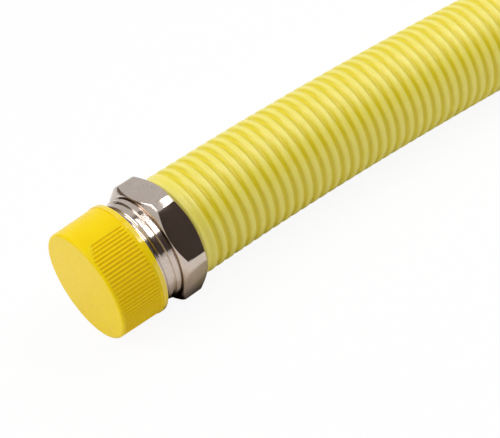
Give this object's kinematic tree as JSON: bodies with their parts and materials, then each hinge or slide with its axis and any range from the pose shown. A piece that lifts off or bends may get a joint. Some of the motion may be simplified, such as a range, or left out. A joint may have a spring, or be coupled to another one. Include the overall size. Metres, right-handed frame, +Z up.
{
  "type": "boiler flexible hose",
  "caption": "Extensible corrugated metal hose in a yellow plastic sheath, with a capped male hexagon nipple at one end and a plugged female swivel nut at the other.",
  "frame": {"origin": "bottom centre of the whole hose as it lies", "axes": "+X along the nipple's axis, from the capped end towards the nut; +Z up; the hose bends gently towards -Y in the floor's plane"},
  "size_m": [0.2156, 0.0524, 0.0298],
  "materials": {
    "cap_yellow": "satin moulded polyethylene",
    "nickel_steel": "turned, nickel plated",
    "stainless": "bright rolled",
    "sheath_yellow": "satin",
    "seal_black": "matt",
    "nut_nickel": "turned, nickel plated",
    "plug_yellow": "satin moulded polyethylene"
  },
  "bodies": {
    "hose": {"male_nipple": "nickel_steel", "bellows": "stainless", "sheath": "sheath_yellow", "tail": "stainless", "gasket": "seal_black"},
    "cap": {"male_cap": "cap_yellow"},
    "nut": {"swivel_nut": "nut_nickel"},
    "plug": {"female_plug": "plug_yellow"}
  },
  "joints": [
    {"name": "cap_pull", "type": "slide", "parent": "hose", "child": "cap", "axis": [-1, 0, 0], "range_m": [0, 0.03]},
    {"name": "nut_spin", "type": "hinge", "parent": "hose", "child": "nut", "pos_m": [0.0923, -0.00808, 0.01491], "axis": [0.9881, -0.1539, 0], "continuous": true},
    {"name": "plug_pull", "type": "slide", "parent": "nut", "child": "plug", "axis": [0.9881, -0.1539, 0], "range_m": [0, 0.025]}
  ]
}
